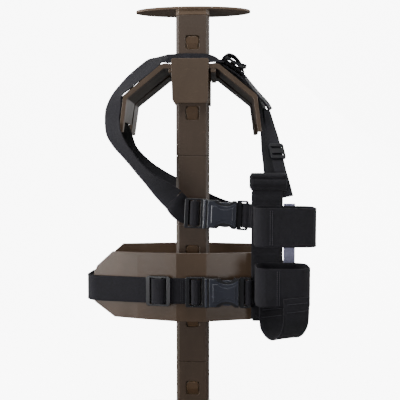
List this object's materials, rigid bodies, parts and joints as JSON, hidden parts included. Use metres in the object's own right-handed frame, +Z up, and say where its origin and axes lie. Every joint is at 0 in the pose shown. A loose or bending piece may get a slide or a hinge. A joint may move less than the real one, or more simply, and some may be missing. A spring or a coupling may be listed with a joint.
{
  "type": "gear display stand with webbing harness",
  "caption": "Free-standing modular post stand with oval top rest, shoulder yoke and faceted waist form, wearing a black webbing harness with bottle holster.",
  "frame": {"origin": "on the floor, at the middle foot, at the centre of the base's footprint and under the post's axis", "axes": "+Z up along the post, -Y is the front that faces the viewer, +X is the viewer's right, where the bottle holster hangs"},
  "size_m": [0.4414, 0.3366, 0.874],
  "materials": {
    "stand_plastic": "satin moulded, fine grain",
    "rest_plastic": "satin moulded, fine grain",
    "yoke_plastic": "satin moulded, fine grain",
    "waist_plastic": "satin moulded, fine grain",
    "foot_rubber": "matte",
    "screw_steel": "blackened",
    "black_webbing": "woven nylon webbing",
    "black_elastic": "ribbed woven elastic",
    "holster_fabric": "woven nylon over foam",
    "grey_webbing": "woven, light grey",
    "buckle_plastic": "moulded acetal"
  },
  "bodies": {
    "stand": {"base_plate": "stand_plastic", "base_socket": "stand_plastic", "base_feet": "foot_rubber", "base_screws": "screw_steel", "post_segment_1": "stand_plastic", "post_segment_2": "stand_plastic", "post_segment_3": "stand_plastic", "post_segment_4": "stand_plastic", "post_segment_5": "stand_plastic", "post_segment_6": "stand_plastic", "post_couplers": "stand_plastic", "yoke_collar": "yoke_plastic", "yoke_front_plate": "yoke_plastic", "yoke_front_rail": "yoke_plastic", "yoke_rear_shell": "yoke_plastic", "yoke_rear_lips": "yoke_plastic", "yoke_webs": "yoke_plastic", "yoke_bridges": "yoke_plastic", "yoke_screws": "screw_steel", "waist_front": "waist_plastic", "waist_back": "waist_plastic", "waist_sides": "waist_plastic", "waist_bracket": "waist_plastic", "waist_screws": "screw_steel", "shoulder_strap": "black_webbing", "neck_strap": "black_webbing", "back_strap": "black_webbing", "strap_tail": "black_webbing", "side_straps": "black_webbing", "chest_buckle_socket": "buckle_plastic", "chest_buckle_plug": "buckle_plastic", "chest_link": "black_webbing", "belt_front": "black_webbing", "belt_back": "black_webbing", "waist_buckle_socket": "buckle_plastic", "waist_buckle_plug": "buckle_plastic", "holster_panel": "holster_fabric", "holster_pad": "holster_fabric", "upper_loop": "black_elastic", "lower_loop": "black_elastic", "loop_tie": "grey_webbing", "stirrup": "black_elastic"},
    "top_rest": {"top_rest": "rest_plastic", "top_spigot": "rest_plastic"},
    "tri_glide": {"tri_glide": "buckle_plastic"},
    "shoulder_lock": {"shoulder_lock": "buckle_plastic"},
    "side_adjuster": {"side_adjuster": "buckle_plastic"},
    "catch_1": {"catch_1": "stand_plastic"},
    "catch_2": {"catch_2": "stand_plastic"},
    "catch_3": {"catch_3": "stand_plastic"},
    "catch_4": {"catch_4": "stand_plastic"},
    "catch_5": {"catch_5": "stand_plastic"},
    "chest_tab_upper": {"chest_tab_upper": "buckle_plastic"},
    "chest_tab_lower": {"chest_tab_lower": "buckle_plastic"},
    "waist_tab_upper": {"waist_tab_upper": "buckle_plastic"},
    "waist_tab_lower": {"waist_tab_lower": "buckle_plastic"}
  },
  "joints": [
    {"name": "top_rest_lift", "type": "slide", "parent": "stand", "child": "top_rest", "axis": [0, 0, 1], "range_m": [0, 0.045]},
    {"name": "catch_1_press", "type": "slide", "parent": "stand", "child": "catch_1", "axis": [0, 1, 0], "range_m": [0, 0.005], "stiffness_N_per_m": 900},
    {"name": "catch_2_press", "type": "slide", "parent": "stand", "child": "catch_2", "axis": [0, 1, 0], "range_m": [0, 0.005], "stiffness_N_per_m": 900},
    {"name": "catch_3_press", "type": "slide", "parent": "stand", "child": "catch_3", "axis": [0, 1, 0], "range_m": [0, 0.005], "stiffness_N_per_m": 900},
    {"name": "catch_4_press", "type": "slide", "parent": "stand", "child": "catch_4", "axis": [0, 1, 0], "range_m": [0, 0.005], "stiffness_N_per_m": 900},
    {"name": "catch_5_press", "type": "slide", "parent": "stand", "child": "catch_5", "axis": [0, 1, 0], "range_m": [0, 0.005], "stiffness_N_per_m": 900},
    {"name": "chest_tab_upper_squeeze", "type": "slide", "parent": "stand", "child": "chest_tab_upper", "axis": [-0.0419, 0, -0.9991], "range_m": [0, 0.004], "stiffness_N_per_m": 1200},
    {"name": "chest_tab_lower_squeeze", "type": "slide", "parent": "stand", "child": "chest_tab_lower", "axis": [0.0419, 0, 0.9991], "range_m": [0, 0.004], "stiffness_N_per_m": 1200},
    {"name": "waist_tab_upper_squeeze", "type": "slide", "parent": "stand", "child": "waist_tab_upper", "axis": [0, 0, -1], "range_m": [0, 0.004], "stiffness_N_per_m": 1200},
    {"name": "waist_tab_lower_squeeze", "type": "slide", "parent": "stand", "child": "waist_tab_lower", "axis": [0, 0, 1], "range_m": [0, 0.004], "stiffness_N_per_m": 1200},
    {"name": "tri_glide_slide", "type": "slide", "parent": "stand", "child": "tri_glide", "axis": [0.988, -0.1547, 0], "range_m": [-0.012, 0.014]},
    {"name": "shoulder_lock_tilt", "type": "hinge", "parent": "stand", "child": "shoulder_lock", "pos_m": [0.0625, -0.015, 0.7745], "axis": [0, -1, 0], "range_deg": [0, 30]},
    {"name": "side_adjuster_slide", "type": "slide", "parent": "stand", "child": "side_adjuster", "axis": [-0.1161, 0.659, 0.7431], "range_m": [-0.006, 0.006]}
  ]
}
